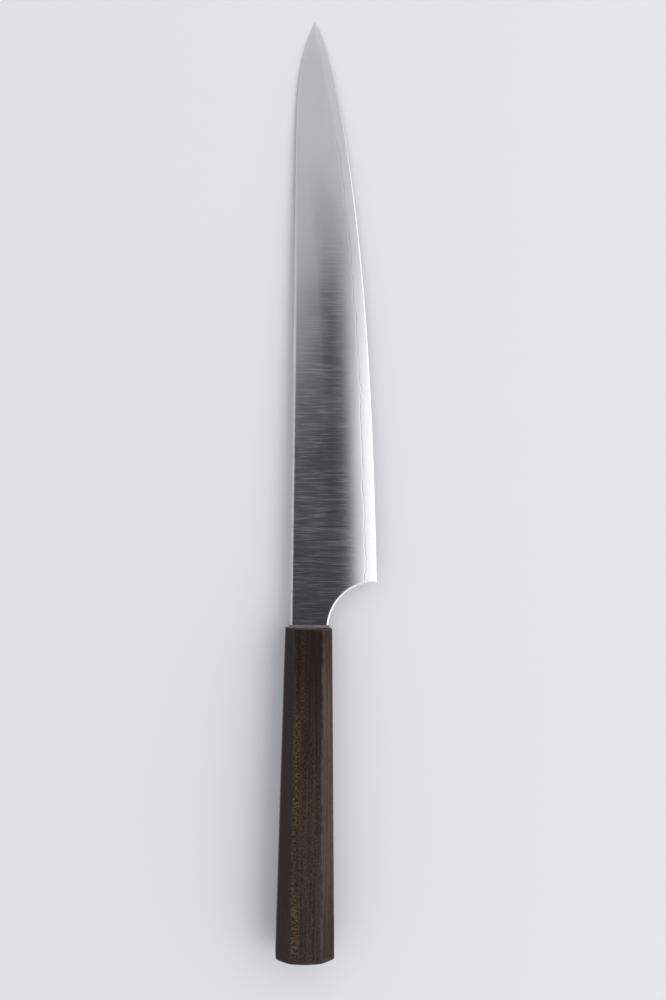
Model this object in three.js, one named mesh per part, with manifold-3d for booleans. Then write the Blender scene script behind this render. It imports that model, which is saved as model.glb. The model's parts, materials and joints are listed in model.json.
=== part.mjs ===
// Sujihiki, a long Japanese slicing knife, lying on its left face on a table.
// Millimetres, +Z up. +Y runs from the butt of the handle to the tip, +X from the spine to the edge.
// The knife is drawn level, with y = 0 at the handle's mouth and the handle's axis on x = z = 0.
// Then the whole group is tilted, so that it rests on the tip and on the mouth's lower edge.

import * as THREE from 'three';
import { mergeVertices } from 'three/addons/utils/BufferGeometryUtils.js';
import Module from 'manifold-3d';

// Blade outline
const bladeLength = 240; // from the heel to the tip
const heelHeight = 37; // from the spine to the edge at the heel
const heelSetback = 19.4; // from the handle's mouth to the heel
const spineRise = 8; // from the handle's axis to the spine
const neckWidth = 16.5; // where the blade enters the handle
const choilRadius = 19.5; // the round from the neck to the heel
const tipDrop = 7.7; // how far the tip lies below the spine line
const spineDropLength = 66; // stretch over which the spine drops to the tip
const spineDropPower = 4; // how late that drop gathers
const leanShare = 0.25; // how the edge's rise to the tip is shared: a steady lean,
const bellyShare = 0.335; // a gentle belly,
const sweepShare = 0.325; // a sweep towards the tip, and the rest in the nose's round
const bellyPower = 2;
const sweepPower = 4;
const nosePower = 40;

// Blade section
const spineAtHeel = 2.6; // thickness of the spine from the handle to the heel
const spineAtTip = 0.9; // thickness that the taper reaches at the tip
const coreAtHeel = 1.1; // thickness of the hard core layer from the handle to the heel
const coreAtTip = 0.38;
const bevelHeight = 20; // height of the rounded bevel above the edge
const edgeThickness = 0.12;
const weldGap = 0.05; // between the core and each cladding, and between neck and tang
const featherEdge = 0.03; // thickness of the cladding where it runs out

// Handle
const handleLength = 141.5;
const mouthWidth = 19.8;
const mouthThickness = 17;
const mouthChamfer = 3.9;
const buttWidth = 25;
const buttThickness = 21;
const buttChamfer = 5.6;
const buttCrownRadius = 60;

// Inside the handle
const mouthWall = 2; // least wood round the bore at the mouth
const endWood = 30; // solid wood behind the bore
const dowelEnd = 6; // solid end of the slotted dowel
const boreClearance = 0.2; // between the dowel and the bore
const beddingWall = 0.6; // adhesive round the tang
const beddingGap = 0.2; // between the adhesive and the wood or steel beside it
const tangEndWidth = 6;
const seatGap = 0.1; // between pieces that bear on each other along the knife

// Sealing bead
const beadWidth = 0.8;
const beadHeight = 1.2;

// Fineness of the round stretches
const bladeSteps = 36;
const bevelSteps = 6;
const edgeSteps = 3;
const roundSteps = 40;
const crownSteps = 5;

// Colours, roughness and metalness of the finishes
const coreFinish = { color: 0xc9cbcc, roughness: 0.22, metalness: 1 };
const claddingFinish = { color: 0x9fa2a5, roughness: 0.32, metalness: 1 };
const tangFinish = { color: 0x8a8c8e, roughness: 0.5, metalness: 1 };
const woodFinish = { color: 0x3a2c27, roughness: 0.5, metalness: 0 };
const dowelFinish = { color: 0xb9996b, roughness: 0.7, metalness: 0 };
const beddingFinish = { color: 0xa99a86, roughness: 0.6, metalness: 0 };
const beadFinish = { color: 0x7d7376, roughness: 0.45, metalness: 0 };

// Places that follow from the sizes
const spineX = -spineRise;
const neckX = spineX + neckWidth;
const neckMiddleX = (spineX + neckX) / 2;
const heelX = spineX + heelHeight;
const heelY = heelSetback;
const tipX = spineX + tipDrop;
const tipY = heelY + bladeLength;
const boreRadius = mouthThickness / 2 - mouthWall;
const boreDepth = handleLength - endWood;
const dowelRadius = boreRadius - boreClearance;
const dowelLength = boreDepth - seatGap - boreClearance;
const beddingHalf = spineAtHeel / 2 + beddingGap + beddingWall;
const slotHalf = beddingHalf + beddingGap;
const slotDepth = dowelLength - dowelEnd;
const beddingDepth = slotDepth - beddingGap;
const tangLength = seatGap + beddingDepth - beddingWall - beddingGap;
const beddingSide = Math.sqrt(dowelRadius ** 2 - beddingHalf ** 2);
const tangRootWidth = 2 * (beddingSide - beddingWall - beddingGap);
const margin = 5; // how far a cutting solid runs past what it cuts
const sameCorner = 0.01; // corners closer than this are one

const wasm = await Module();
wasm.setup();

// A closed three.js geometry as a solid that can be joined and cut
function solid(geometry) {
  geometry.deleteAttribute('normal');
  geometry.deleteAttribute('uv');
  const merged = mergeVertices(geometry);
  const mesh = new wasm.Mesh({
    numProp: 3,
    vertProperties: merged.attributes.position.array,
    triVerts: Uint32Array.from(merged.index.array),
  });
  return new wasm.Manifold(mesh);
}

// A named piece of the knife from a solid
function piece(name, body, finish) {
  const mesh = body.getMesh();
  const geometry = new THREE.BufferGeometry();
  geometry.setAttribute('position', new THREE.BufferAttribute(mesh.vertProperties, 3));
  geometry.setIndex(new THREE.BufferAttribute(mesh.triVerts, 1));
  geometry.computeVertexNormals();
  const result = new THREE.Mesh(geometry, new THREE.MeshStandardMaterial(finish));
  result.name = name;
  return result;
}

// A flat outline in x and y, thick from -half to +half in z
function plate(outline, half) {
  const geometry = new THREE.ExtrudeGeometry(outline, {
    depth: 2 * half,
    bevelEnabled: false,
    curveSegments: bladeSteps,
  });
  geometry.translate(0, 0, -half);
  return solid(geometry);
}

// A round bar along y
function bar(radius, fromY, toY) {
  const geometry = new THREE.CylinderGeometry(radius, radius, toY - fromY, roundSteps);
  geometry.translate(0, (fromY + toY) / 2, 0);
  return solid(geometry);
}

// Places from one y to another that crowd towards the far end
function crowded(fromY, toY) {
  const places = [];
  for (let step = 0; step <= bladeSteps; step += 1) {
    const left = 1 - step / bladeSteps;
    places.push(THREE.MathUtils.lerp(toY, fromY, left ** 2));
  }
  return places;
}

// Where the cutting edge lies at a place along the knife
function edgeX(y) {
  const along = Math.max(0, (y - heelY) / bladeLength);
  const noseShare = 1 - leanShare - bellyShare - sweepShare;
  const belly = bellyShare * along ** bellyPower;
  const sweep = sweepShare * along ** sweepPower;
  const nose = noseShare * Math.min(1, along) ** nosePower;
  return heelX - (heelX - tipX) * (leanShare * along + belly + sweep + nose);
}

// Where the spine lies at a place along the knife
function spineAt(y) {
  const along = Math.max(0, 1 - (tipY - y) / spineDropLength);
  return spineX + tipDrop * along ** spineDropPower;
}

// A half thickness that tapers from the heel to the tip and stays level along the neck
function tapered(atHeel, atTip, y) {
  const along = THREE.MathUtils.clamp((y - heelY) / bladeLength, 0, 1);
  return THREE.MathUtils.lerp(atHeel, atTip, along) / 2;
}

function coreHalf(y) {
  return tapered(coreAtHeel, coreAtTip, y);
}

// Half thickness of the blade at a distance from the edge: flat above, rounded down to the edge
function bladeHalf(fromEdge, y) {
  const flat = tapered(spineAtHeel, spineAtTip, y);
  const intoBevel = THREE.MathUtils.clamp(1 - fromEdge / bevelHeight, 0, 1);
  return flat - (flat - edgeThickness / 2) * intoBevel ** 2;
}

// Distance from the edge at which the blade has a given half thickness
function bevelReach(half, y) {
  const flat = tapered(spineAtHeel, spineAtTip, y);
  return bevelHeight * (1 - Math.sqrt((flat - half) / (flat - edgeThickness / 2)));
}

// Places along the knife at which a layer is drawn, from behind the neck to past the tip
const stations = [-margin, ...crowded(heelY, tipY), tipY + margin];

// A layer of the blade between two heights, on lines that keep their distance from the edge
function layer(lineCount, fromEdgeAt, lowAt, highAt) {
  const geometry = new THREE.BoxGeometry(1, 1, 1, lineCount - 1, stations.length - 1, 1);
  const position = geometry.attributes.position;
  for (let index = 0; index < position.count; index += 1) {
    const line = Math.round((position.getX(index) + 0.5) * (lineCount - 1));
    const y = stations[Math.round((position.getY(index) + 0.5) * (stations.length - 1))];
    const fromEdge = fromEdgeAt(line, y);
    const z = position.getZ(index) > 0 ? highAt(fromEdge, y) : lowAt(fromEdge, y);
    position.setXYZ(index, edgeX(y) - fromEdge, y, z);
  }
  return solid(geometry);
}

// The choil: a round from the straight neck inside the bead to the heel
function addChoil(outline) {
  const start = new THREE.Vector2(neckX, seatGap + beadHeight);
  const end = new THREE.Vector2(heelX, heelY);
  const chord = end.clone().sub(start);
  const radius = Math.max(choilRadius, chord.length() / 2);
  const centre = start.clone().addScaledVector(chord, 0.5);
  const outwards = new THREE.Vector2(chord.y, -chord.x).normalize();
  centre.addScaledVector(outwards, Math.sqrt(radius ** 2 - chord.lengthSq() / 4));
  const startAngle = start.clone().sub(centre).angle();
  const endAngle = end.clone().sub(centre).angle();
  outline.lineTo(start.x, start.y);
  outline.absarc(centre.x, centre.y, radius, startAngle, endAngle, true);
}

// The outline that all three layers share: blade, choil and neck, whose corner is eased inside the bead
function bladeOutline() {
  const outline = new THREE.Shape();
  outline.moveTo(spineX, 0);
  outline.lineTo(neckX - beadHeight, 0);
  outline.lineTo(neckX, beadHeight);
  addChoil(outline);
  crowded(heelY, tipY).slice(1).forEach((y) => outline.lineTo(edgeX(y), y));
  crowded(tipY - spineDropLength, tipY).reverse().slice(1).forEach((y) => outline.lineTo(spineAt(y), y));
  outline.closePath();
  return plate(outline, spineAtHeel);
}

// Core: level faces above the lamination line, the rounded bevel below it
function coreSteel(outline) {
  const lineCount = edgeSteps + 3;
  const fromEdgeAt = (line, y) => {
    const reveal = bevelReach(coreHalf(y), y);
    if (line === 0) return heelHeight + margin;
    if (line === lineCount - 1) return -margin;
    return reveal * (1 - (line - 1) / edgeSteps);
  };
  const top = (fromEdge, y) => Math.min(coreHalf(y), bladeHalf(fromEdge, y));
  const bottom = (fromEdge, y) => -top(fromEdge, y);
  return outline.intersect(layer(lineCount, fromEdgeAt, bottom, top));
}

// Cladding on one face, +1 for the right face, which lies upwards: it runs out at the lamination line
function cladding(outline, side) {
  const lineCount = bevelSteps + 2;
  const inside = (y) => coreHalf(y) + weldGap;
  const fromEdgeAt = (line, y) => {
    const reveal = bevelReach(inside(y) + featherEdge, y);
    if (line === 0) return heelHeight + margin;
    return THREE.MathUtils.lerp(bevelHeight, reveal, (line - 1) / bevelSteps);
  };
  const inner = (fromEdge, y) => side * inside(y);
  const outer = (fromEdge, y) => side * bladeHalf(fromEdge, y);
  const bottom = side > 0 ? inner : outer;
  const top = side > 0 ? outer : inner;
  return outline.intersect(layer(lineCount, fromEdgeAt, bottom, top));
}

// Tang: a tapering bar, welded to the neck's end and hidden in the handle
function tang() {
  const outline = new THREE.Shape();
  outline.moveTo(-tangRootWidth / 2, -weldGap);
  outline.lineTo(-tangEndWidth / 2, -tangLength);
  outline.lineTo(tangEndWidth / 2, -tangLength);
  outline.lineTo(tangRootWidth / 2, -weldGap);
  outline.closePath();
  return plate(outline, spineAtHeel / 2);
}

// Corners of the handle's octagon, in x and z
function octagon(width, thickness, chamfer) {
  const corners = [];
  for (let quarter = 0; quarter < 4; quarter += 1) {
    const signX = quarter === 0 || quarter === 3 ? 1 : -1;
    const signZ = quarter < 2 ? 1 : -1;
    const side = new THREE.Vector2((signX * width) / 2, signZ * (thickness / 2 - chamfer));
    const face = new THREE.Vector2(signX * (width / 2 - chamfer), (signZ * thickness) / 2);
    corners.push(...(quarter % 2 === 0 ? [side, face] : [face, side]));
  }
  return corners;
}

// Handle: a tapering octagon with a crowned butt and a blind bore from the mouth
function handleBody() {
  const atMouth = octagon(mouthWidth, mouthThickness, mouthChamfer);
  const atButt = octagon(buttWidth, buttThickness, buttChamfer);
  const geometry = new THREE.ExtrudeGeometry(new THREE.Shape(atMouth), {
    depth: handleLength,
    bevelEnabled: false,
  });
  const position = geometry.attributes.position;
  const corner = new THREE.Vector2();
  for (let index = 0; index < position.count; index += 1) {
    corner.set(position.getX(index), position.getY(index));
    const which = atMouth.findIndex((candidate) => candidate.distanceTo(corner) < sameCorner);
    const back = position.getZ(index);
    const place = back > 0 ? atButt[which] : atMouth[which];
    position.setXYZ(index, place.x, -back, place.y);
  }
  const bore = bar(boreRadius, -boreDepth, margin);
  return solid(geometry).intersect(crown()).subtract(bore);
}

// A round bar with a domed end, which gives the butt its crown
function crown() {
  const reach = Math.hypot(buttWidth, buttThickness) / 2;
  const centreY = buttCrownRadius - handleLength;
  const profile = [];
  for (let step = 0; step <= crownSteps; step += 1) {
    const radius = (reach * step) / crownSteps;
    profile.push(new THREE.Vector2(radius, centreY - Math.sqrt(buttCrownRadius ** 2 - radius ** 2)));
  }
  profile.push(new THREE.Vector2(reach, margin));
  profile.push(new THREE.Vector2(0, margin));
  return solid(new THREE.LatheGeometry(profile, roundSteps));
}

// A slab along the handle, across its full width, open towards the mouth
function slab(half, fromY, toY) {
  const geometry = new THREE.BoxGeometry(mouthWidth, toY - fromY, 2 * half);
  geometry.translate(0, (fromY + toY) / 2, 0);
  return solid(geometry);
}

// Dowel: fills the bore and is slit from the mouth to take the tang
function tangDowel() {
  const blank = bar(dowelRadius, -seatGap - dowelLength, -seatGap);
  return blank.subtract(slab(slotHalf, -seatGap - slotDepth, margin));
}

// Bedding: adhesive in the dowel's slit, with a pocket for the tang
function tangBedding() {
  const blank = bar(dowelRadius, -seatGap - beddingDepth, -seatGap);
  const pocketSide = (y) => {
    const along = -y / tangLength;
    return THREE.MathUtils.lerp(tangRootWidth, tangEndWidth, along) / 2 + beddingGap;
  };
  const pocketEnd = -tangLength - beddingGap;
  const pocket = new THREE.Shape();
  pocket.moveTo(pocketSide(margin), margin);
  pocket.lineTo(-pocketSide(margin), margin);
  pocket.lineTo(-pocketSide(pocketEnd), pocketEnd);
  pocket.lineTo(pocketSide(pocketEnd), pocketEnd);
  pocket.closePath();
  const filled = blank.intersect(slab(beddingHalf, -seatGap - beddingDepth - margin, margin));
  return filled.subtract(plate(pocket, spineAtHeel / 2 + beddingGap));
}

// Bead: a ring of sealant round the neck, on the face of the mouth
function mouthBead() {
  const block = (grow, fromY, toY) => {
    const geometry = new THREE.BoxGeometry(neckWidth + 2 * grow, toY - fromY, spineAtHeel + 2 * grow);
    geometry.translate(neckMiddleX, (fromY + toY) / 2, 0);
    return solid(geometry);
  };
  const ring = block(beadWidth, seatGap, seatGap + beadHeight);
  return ring.subtract(block(seatGap, -margin, margin));
}

const outline = bladeOutline();
const blade = new THREE.Group();
blade.add(piece('core_steel', coreSteel(outline), coreFinish));
blade.add(piece('cladding_right', cladding(outline, 1), claddingFinish));
blade.add(piece('cladding_left', cladding(outline, -1), claddingFinish));
blade.add(piece('tang', tang(), tangFinish));

const grip = new THREE.Group();
grip.add(piece('handle_body', handleBody(), woodFinish));
grip.add(piece('tang_dowel', tangDowel(), dowelFinish));
grip.add(piece('tang_bedding', tangBedding(), beddingFinish));
grip.add(piece('mouth_bead', mouthBead(), beadFinish));

// The knife lies on its tip and on the mouth's lower edge, with its box's lowest middle at the origin
const knife = new THREE.Group();
knife.add(blade, grip);
knife.rotation.x = -Math.atan2(mouthThickness / 2 - edgeThickness / 2, tipY);
const box = new THREE.Box3().setFromObject(knife, true);
const middle = box.getCenter(new THREE.Vector3());
knife.position.set(-middle.x, -middle.y, -box.min.z);

const part = new THREE.Group();
part.add(knife);

export default part;
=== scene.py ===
# %% [markdown]
# # A long slicing knife on a pale table
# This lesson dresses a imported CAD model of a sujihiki, a slim Japanese slicing knife. The CAD solids give
# every place and size. Blender adds what they leave out: eased spine and choil, the wandering lamination
# line, softened facet ridges, and finishes of ground steel and dark wood.

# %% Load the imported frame
import json
import math
import bmesh
import bpy
from mathutils import Matrix, Vector, noise


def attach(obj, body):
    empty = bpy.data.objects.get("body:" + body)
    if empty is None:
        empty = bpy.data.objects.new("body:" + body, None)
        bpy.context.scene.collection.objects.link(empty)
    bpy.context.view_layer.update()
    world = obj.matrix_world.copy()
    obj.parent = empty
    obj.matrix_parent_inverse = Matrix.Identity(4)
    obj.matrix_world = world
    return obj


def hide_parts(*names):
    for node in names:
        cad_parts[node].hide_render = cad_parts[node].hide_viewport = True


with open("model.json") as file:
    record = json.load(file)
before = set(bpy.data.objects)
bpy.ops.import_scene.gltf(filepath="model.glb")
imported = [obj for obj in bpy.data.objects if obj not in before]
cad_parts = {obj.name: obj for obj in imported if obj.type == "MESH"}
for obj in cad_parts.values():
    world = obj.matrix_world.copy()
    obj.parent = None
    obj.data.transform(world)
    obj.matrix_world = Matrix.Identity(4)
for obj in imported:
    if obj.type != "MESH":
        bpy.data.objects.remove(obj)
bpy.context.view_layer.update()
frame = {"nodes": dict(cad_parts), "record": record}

print("CAD nodes:", sorted(frame["nodes"]))

# %% [markdown]
# ## How the knife lies
# The knife rests on its tip and on the lower edge of the handle, so it leans by about two degrees.
# It is easier to model it level, in millimetres, with the handle's mouth at y = 0, and to carry each
# finished mesh to its place with one matrix. The record's mounts give that matrix: the two flat faces
# of the blade give the lean, and the two handle facets give a point on the handle's axis.

# %% Find the matrix from the level drawing to the table
MM = 0.001
MOUNT_BACK = 70  # from the mouth back to the handle's mounts
MOUNT_ROUNDING = 0.003  # the mounts' numbers are rounded by less than this
mounts = {mount["name"]: mount for mount in frame["record"]["mounts"]}


def mount_place(name):
    return Vector(mounts[name]["pos_m"])


def mount_axis(name):
    return Vector(mounts[name]["axis"])


knife_across = Vector((1, 0, 0))
knife_up = (mount_axis("blade_right_face") - mount_axis("blade_left_face")).normalized()
knife_along = knife_up.cross(knife_across)
handle_middle = (mount_place("handle_upper_facet") + mount_place("handle_lower_facet")) / 2
mouth_place = handle_middle + knife_along * MOUNT_BACK * MM
mouth_place.z += MOUNT_ROUNDING * MM
knife_turn = Matrix((knife_across, knife_along, knife_up)).transposed()
lie = Matrix.Translation(mouth_place) @ knife_turn.to_4x4() @ Matrix.Scale(MM, 4)
lean = math.atan2(knife_along.z, knife_along.y)
print("mouth at", list(mouth_place), "lean in degrees", math.degrees(lean))

# %% [markdown]
# ## The camera
# The photograph was taken from nearly straight above, with the tip at the top. The camera stands a
# little to the left and a little towards the tip, so that a sliver of the handle's left side and of its
# front face shows. Its place is worked out from a point on the table and two leaning angles.

# %% Place the camera
PICTURE_MIDDLE = Vector((1.93, -4.40, 0)) * MM  # the table's point in the middle of the picture
CAMERA_AWAY = 601.1 * MM
LEAN_TO_SPINE = math.radians(3.5)
LEAN_TO_TIP = math.radians(1.5)
CAMERA_ROLL = math.radians(-0.82)


def place_object(name, data):
    made = bpy.data.objects.new(name, data)
    bpy.context.scene.collection.objects.link(made)
    return made


camera_back = Vector((-math.sin(LEAN_TO_SPINE), math.sin(LEAN_TO_TIP), 0))
camera_back.z = math.sqrt(1 - camera_back.length_squared)
picture_up = Vector((math.sin(CAMERA_ROLL), math.cos(CAMERA_ROLL), 0))
picture_right = picture_up.cross(camera_back).normalized()
picture_up = camera_back.cross(picture_right)

camera_data = bpy.data.cameras.new("camera")
camera_data.lens = 50
camera_data.sensor_width = 36
camera = place_object("camera", camera_data)
camera_turn = Matrix((picture_right, picture_up, camera_back)).transposed().to_4x4()
camera.matrix_world = Matrix.Translation(PICTURE_MIDDLE + camera_back * CAMERA_AWAY) @ camera_turn
bpy.context.scene.camera = camera
print("camera at", list(camera.location))

# %% [markdown]
# ## Helpers for nodes
# A material is a small tree of nodes. One helper adds a node, sets its options and fills its inputs,
# with a number, a colour or a link. Short ones stand for the nodes that are used most, so that each
# material further down reads as a list of its steps.

# %% Node helpers


def add_node(tree, kind, inputs=None, **options):
    made = tree.nodes.new("ShaderNode" + kind)
    for name, value in options.items():
        setattr(made, name, value)
    for key, value in (inputs or {}).items():
        if isinstance(value, bpy.types.NodeSocket):
            tree.links.new(value, made.inputs[key])
        else:
            made.inputs[key].default_value = value
    return made


def math_node(tree, operation, first, second):
    return add_node(tree, "Math", {0: first, 1: second}, operation=operation).outputs[0]


def times(tree, first, second):
    return math_node(tree, "MULTIPLY", first, second)


def ranged(tree, value, low, high, to_low=0.0, to_high=1.0, kind="SMOOTHSTEP"):
    """Carry low..high to to_low..to_high and hold the ends. Low may be the greater of the two."""
    inputs = {"Value": value, "From Min": low, "From Max": high, "To Min": to_low, "To Max": to_high}
    return add_node(tree, "MapRange", inputs, interpolation_type=kind).outputs["Result"]


def mixed(tree, share, first, second):
    """Blend two colours. Each is a link or three plain numbers."""
    colours = []
    for colour in (first, second):
        colours.append(colour if isinstance(colour, bpy.types.NodeSocket) else (*colour, 1))
    made = add_node(tree, "Mix", {"Factor": share, 6: colours[0], 7: colours[1]}, data_type="RGBA")
    return made.outputs[2]


def scaled(tree, colour, share):
    return add_node(tree, "VectorMath", {0: colour, "Scale": share}, operation="SCALE").outputs[0]


# %% Starting and finishing node trees


def start_material(name):
    material = bpy.data.materials.new(name)
    material.use_nodes = True
    return material, material.node_tree, material.node_tree.nodes["Principled BSDF"]


def start_group(name, outputs):
    """A group that takes a place on the knife and gives plain values."""
    group = bpy.data.node_groups.new(name, "ShaderNodeTree")
    group.interface.new_socket("Place", in_out="INPUT", socket_type="NodeSocketVector")
    for output in outputs:
        group.interface.new_socket(output, in_out="OUTPUT", socket_type="NodeSocketFloat")
    return group, group.nodes.new("NodeGroupInput").outputs["Place"]


def finish_group(group, values):
    group_out = group.nodes.new("NodeGroupOutput")
    for name, value in values.items():
        group.links.new(value, group_out.inputs[name])
    print(group.name, "gives", ", ".join(values))


# %% [markdown]
# ## Table, card, room and lamp
# The table is a plain pale sheet. Ground steel mostly shows what it mirrors, so the light is set up as
# a photographer would: a room that grows brighter to the right, a dark card above the blade, which
# makes its flat dark near the handle, and one soft lamp beside the card. The card glows, more towards
# the tip and most of all towards the lamp, as a light tent's cloth does, so that the blade brightens
# without a hard line. It hangs higher than any camera above the table, so it never shows itself.

# %% Lay the table
TABLE_REACH = 4
TABLE_DROP = 0.02 * MM  # keeps the table clear of the knife's lowest points
TABLE_COLOUR = (0.8, 0.808, 0.83, 1)


def flat_sheet(name, low, high):
    """A level sheet between two corners at one height."""
    size = high - low
    sheet_bm = bmesh.new()
    bmesh.ops.create_grid(sheet_bm, x_segments=1, y_segments=1, size=0.5)
    bmesh.ops.scale(sheet_bm, verts=sheet_bm.verts, vec=(size.x, size.y, 1))
    bmesh.ops.translate(sheet_bm, verts=sheet_bm.verts, vec=(low + high) / 2)
    sheet_mesh = bpy.data.meshes.new(name)
    sheet_bm.to_mesh(sheet_mesh)
    sheet_bm.free()
    print(name, "measures", round(size.x, 2), "by", round(size.y, 2), "metres")
    return place_object(name, sheet_mesh)


table_low = Vector((-TABLE_REACH, -TABLE_REACH, -TABLE_DROP))
table_high = Vector((TABLE_REACH, TABLE_REACH, -TABLE_DROP))
table = flat_sheet("table", table_low, table_high)

table_finish, _, table_shader = start_material("table_top")
table_shader.inputs["Base Color"].default_value = TABLE_COLOUR
table_shader.inputs["Roughness"].default_value = 0.6
table_shader.inputs["Specular IOR Level"].default_value = 0
table.data.materials.append(table_finish)

# %% Hang the card
CARD_HEIGHT = 1.05
card_low = Vector((-0.38, -0.39, CARD_HEIGHT))
card_high = Vector((0.52, 0.68, CARD_HEIGHT))
dark_card = flat_sheet("dark_card", card_low, card_high)

card_finish, card_tree, card_shader = start_material("card_glow")
card_shader.inputs["Base Color"].default_value = (0, 0, 0, 1)
card_shader.inputs["Specular IOR Level"].default_value = 0
card_shader.inputs["Emission Strength"].default_value = 1
dark_card.data.materials.append(card_finish)

# %% Let the card glow towards the tip
GLOW_LEAN = 3  # how far the glow draws back to the tip for each metre towards the lamp
GLOW_STRAIGHT = 0.059  # beyond this x it draws back no further
TIP_GLOW_FROM = 0.085
TIP_GLOW_TO = 0.275
CARD_DARK = (0.052, 0.053, 0.06)
CARD_BRIGHT = (0.7, 0.69, 0.71)

card_spot = add_node(card_tree, "TexCoord").outputs["Object"]
spot_axes = add_node(card_tree, "SeparateXYZ", {"Vector": card_spot}).outputs
lean_x = math_node(card_tree, "MINIMUM", spot_axes["X"], GLOW_STRAIGHT)
tip_side = math_node(card_tree, "SUBTRACT", spot_axes["Y"], times(card_tree, lean_x, GLOW_LEAN))
to_tip = ranged(card_tree, tip_side, TIP_GLOW_FROM, TIP_GLOW_TO, kind="LINEAR")
tip_glow = mixed(card_tree, to_tip, CARD_DARK, CARD_BRIGHT)
print("tip glow grows over", round(TIP_GLOW_TO - TIP_GLOW_FROM, 3), "metres")

# %% Let the card glow towards the lamp
LAMP_SLANT = 0.17  # how much nearer the lamp comes for each metre towards the tip
LAMP_GLOW_FROM = 0.166
LAMP_GLOW_TO = 0.329
FAR_GLOW = (0.03, 0.03, 0.034, 1)
NEAR_GLOW = (1.62, 1.63, 1.64, 1)
BETWEEN_GLOWS = {0.23: (0.16, 0.169, 0.22, 1), 0.32: (0.38, 0.388, 0.42, 1)}  # by share of the way
DIM_FROM = 0.15
DIM_TO = 0.45
DIMMED = 0.57  # what is left of this glow at the tip's end

lamp_side = math_node(card_tree, "ADD", spot_axes["X"], times(card_tree, spot_axes["Y"], LAMP_SLANT))
to_lamp = ranged(card_tree, lamp_side, LAMP_GLOW_FROM, LAMP_GLOW_TO, kind="LINEAR")
lamp_ramp = add_node(card_tree, "ValToRGB", {"Fac": to_lamp})
glow_stops = lamp_ramp.color_ramp.elements
glow_stops[0].color = FAR_GLOW
glow_stops[1].color = NEAR_GLOW
for share, colour in BETWEEN_GLOWS.items():
    glow_stops.new(share).color = colour
dimming = ranged(card_tree, spot_axes["Y"], DIM_FROM, DIM_TO, 1, DIMMED, kind="LINEAR")
lamp_glow = scaled(card_tree, lamp_ramp.outputs["Color"], dimming)
glow = add_node(card_tree, "VectorMath", {0: tip_glow, 1: lamp_glow}, operation="MAXIMUM")
card_tree.links.new(glow.outputs[0], card_shader.inputs["Emission Color"])
print("card glow has", len(glow_stops), "stops towards the lamp")

# %% Light the room
BRIGHT_WAY = (0.958, 0.287, 0)  # the way from the knife to the room's bright side
ROOM_DARK = (0.56, 0.566, 0.585)
ROOM_BRIGHT = (1.3, 1.305, 1.32)
BACKDROP = (0.76, 0.765, 0.78)  # what the camera sees beyond the table

world = bpy.data.worlds.new("pale_room")
world.use_nodes = True
room_tree = world.node_tree
look = add_node(room_tree, "TexCoord").outputs["Generated"]
facing_bright = add_node(room_tree, "VectorMath", {0: look, 1: BRIGHT_WAY}, operation="DOT_PRODUCT")
bright_share = ranged(room_tree, facing_bright.outputs["Value"], -1, 1, kind="LINEAR")
room_light = mixed(room_tree, bright_share, ROOM_DARK, ROOM_BRIGHT)
seen = add_node(room_tree, "LightPath").outputs["Is Camera Ray"]
background = room_tree.nodes["Background"]
room_tree.links.new(mixed(room_tree, seen, room_light, BACKDROP), background.inputs["Color"])
background.inputs["Strength"].default_value = 1
bpy.context.scene.world = world
bpy.context.scene.view_settings.view_transform = "Standard"
print("room light has", len(room_tree.nodes), "nodes")

# %% Hang the lamp
LAMP_WIDTH = 1.0
LAMP_LENGTH = 1.6
LAMP_RADIANCE = 0.65
LAMP_PLACE = (0.98, -0.21, CARD_HEIGHT - 0.01)

lamp_data = bpy.data.lights.new("ceiling_lamp", "AREA")
lamp_data.shape = "RECTANGLE"
lamp_data.size = LAMP_WIDTH
lamp_data.size_y = LAMP_LENGTH
lamp_data.energy = LAMP_RADIANCE * math.pi * LAMP_WIDTH * LAMP_LENGTH
lamp = place_object("ceiling_lamp", lamp_data)
lamp.location = LAMP_PLACE
lamp.rotation_euler.z = math.atan(LAMP_SLANT)
lamp.visible_camera = False
print("lamp gives", round(lamp_data.energy, 2), "watts")

# %% [markdown]
# ## The blade's outline
# The blade is drawn from a few measured sizes. The edge rises from the heel to the tip along a smooth
# curve with a gentle belly, and the spine only drops near the tip. The two curves are the same ones
# that the CAD model uses, so the fine mesh lies on the solids.

# %% Write the outline curves
BLADE_LENGTH = 240
HEEL_HEIGHT = 37
HEEL_Y = 19.4
SPINE_X = -8
NECK_X = 8.5
NECK_TOP = 1.3  # the neck is straight as far as this
CHOIL_RADIUS = 19.5
TIP_DROP = 7.7
SPINE_DROP_LENGTH = 66
LEAN_SHARE = 0.25
BELLY_SHARE = 0.335
SWEEP_SHARE = 0.325
SWEEP_POWER = 4
NOSE_POWER = 40  # the last share of the rise comes only at the very tip

HEEL_X = SPINE_X + HEEL_HEIGHT
TIP_X = SPINE_X + TIP_DROP
TIP_Y = HEEL_Y + BLADE_LENGTH
choil_chord = Vector((HEEL_X - NECK_X, HEEL_Y - NECK_TOP))
choil_out = Vector((choil_chord.y, -choil_chord.x)).normalized()
choil_out *= math.sqrt(CHOIL_RADIUS**2 - choil_chord.length_squared / 4)
CHOIL_X, CHOIL_Y = Vector((NECK_X, NECK_TOP)) + choil_chord / 2 + choil_out


def blend(start, end, share):
    return start + (end - start) * share


def clamp(value):
    return min(1, max(0, value))


def edge_x(y):
    along = clamp((y - HEEL_Y) / BLADE_LENGTH)
    nose_share = 1 - LEAN_SHARE - BELLY_SHARE - SWEEP_SHARE
    rise = LEAN_SHARE * along + BELLY_SHARE * along**2
    rise += SWEEP_SHARE * along**SWEEP_POWER + nose_share * along**NOSE_POWER
    return blend(HEEL_X, TIP_X, rise)


def spine_x(y):
    return SPINE_X + TIP_DROP * clamp(1 - (TIP_Y - y) / SPINE_DROP_LENGTH) ** SWEEP_POWER


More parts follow.
